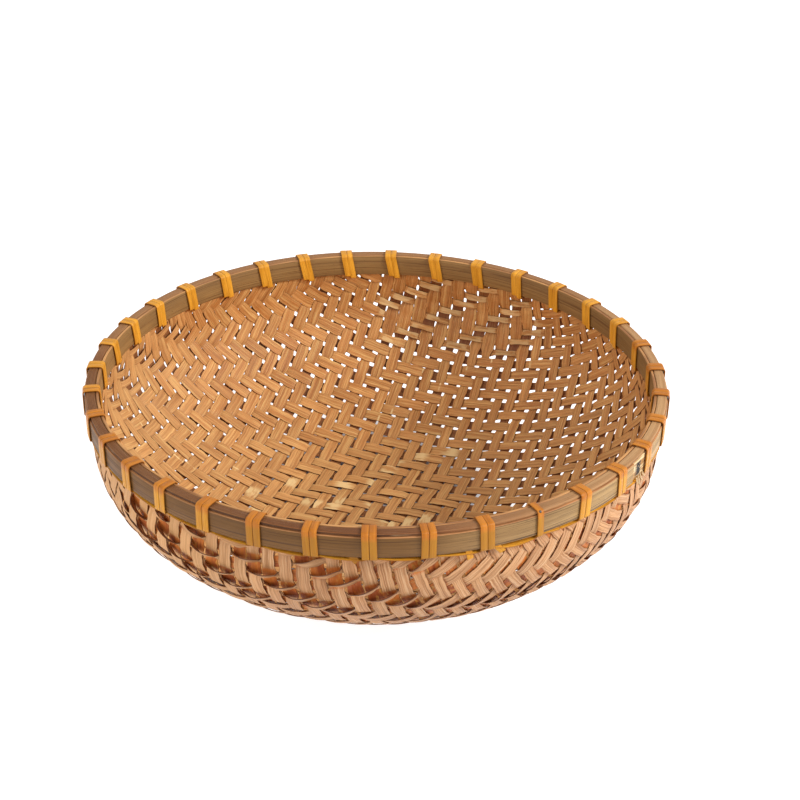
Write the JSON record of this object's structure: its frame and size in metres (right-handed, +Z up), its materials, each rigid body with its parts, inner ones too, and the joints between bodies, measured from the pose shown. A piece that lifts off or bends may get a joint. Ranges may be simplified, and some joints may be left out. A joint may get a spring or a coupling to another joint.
{
  "type": "bamboo basket",
  "caption": "Shallow round bowl of twill-woven bamboo splints, its edge clamped between bent bamboo hoops under a cover strip and wound with bamboo lacing.",
  "frame": {"origin": "middle of the bowl's underside, on the surface that the basket stands on", "axes": "+Z up out of the mouth of the bowl; -Y is the side that faces the viewer"},
  "size_m": [0.3, 0.2999, 0.1],
  "materials": {
    "woven_splint": "dry split bamboo, matt with a slight sheen along the grain",
    "hoop_bamboo": "bamboo skin, weathered olive brown, satin",
    "lacing_bamboo": "golden bamboo skin strip, slightly glossy"
  },
  "bodies": {
    "root": {"woven_mat": "woven_splint", "outer_hoop": "hoop_bamboo", "inner_hoop": "hoop_bamboo", "rim_cap": "hoop_bamboo", "lacing_strip_1": "lacing_bamboo", "lacing_strip_2": "lacing_bamboo", "lacing_strip_3": "lacing_bamboo", "lacing_strip_4": "lacing_bamboo", "lacing_strip_5": "lacing_bamboo"}
  },
  "joints": []
}
